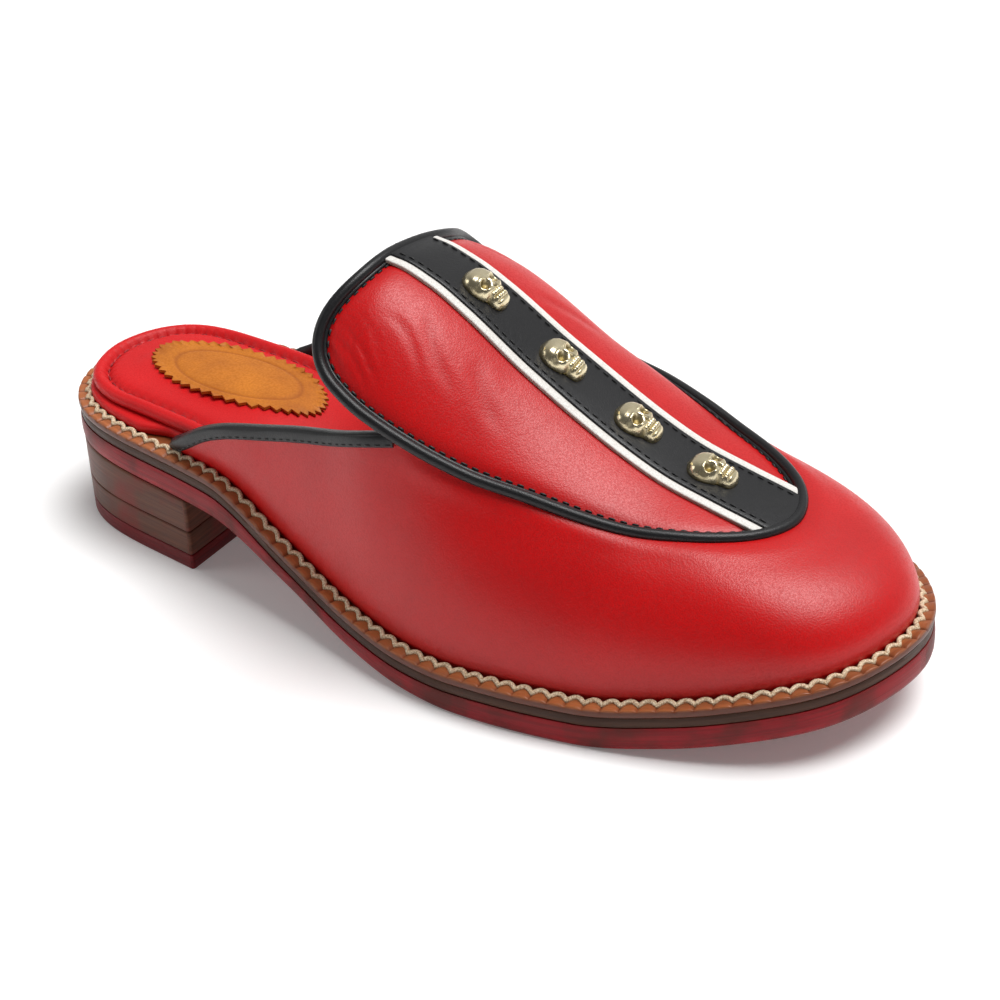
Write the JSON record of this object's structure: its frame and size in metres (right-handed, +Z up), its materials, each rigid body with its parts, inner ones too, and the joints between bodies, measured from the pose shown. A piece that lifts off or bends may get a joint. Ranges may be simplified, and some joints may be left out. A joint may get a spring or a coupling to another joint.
{
  "type": "backless loafer mule slipper",
  "caption": "Backless leather loafer mule for the right foot, with a tall free tongue, piped apron, studded centre strap, stitched welt and stacked heel.",
  "frame": {"origin": "on the floor, under the middle of the bounding box", "axes": "+X from heel to toe, +Y to the big-toe side (medial), +Z up"},
  "size_m": [0.2698, 0.107, 0.1052],
  "materials": {
    "red_leather": "smooth satin leather",
    "red_lining": "soft lining leather",
    "tan_patch": "tan leather with a pinked edge",
    "black_leather": "smooth black leather",
    "white_leather": "smooth white leather",
    "gold_metal": "pale gold with dark hollows",
    "welt": "tan welt leather",
    "midsole": "dark brown dressed edge",
    "outsole": "dark red dressed sole leather",
    "heel_stack": "stacked leather, brown stain",
    "top_piece": "dark red heel rubber"
  },
  "bodies": {
    "root": {"heel_top_piece": "top_piece", "heel_lift_lower": "heel_stack", "heel_lift_upper": "heel_stack", "outsole": "outsole", "midsole": "midsole", "welt": "welt", "insole": "red_lining", "sock_pad": "red_lining", "heel_patch": "tan_patch", "upper": "red_leather", "apron_piping": "black_leather", "binding_lateral": "black_leather", "binding_medial": "black_leather", "centre_strap": "black_leather", "trim_lateral": "white_leather", "trim_medial": "white_leather", "skull_stud_1": "gold_metal", "skull_stud_2": "gold_metal", "skull_stud_3": "gold_metal", "skull_stud_4": "gold_metal"}
  },
  "joints": []
}
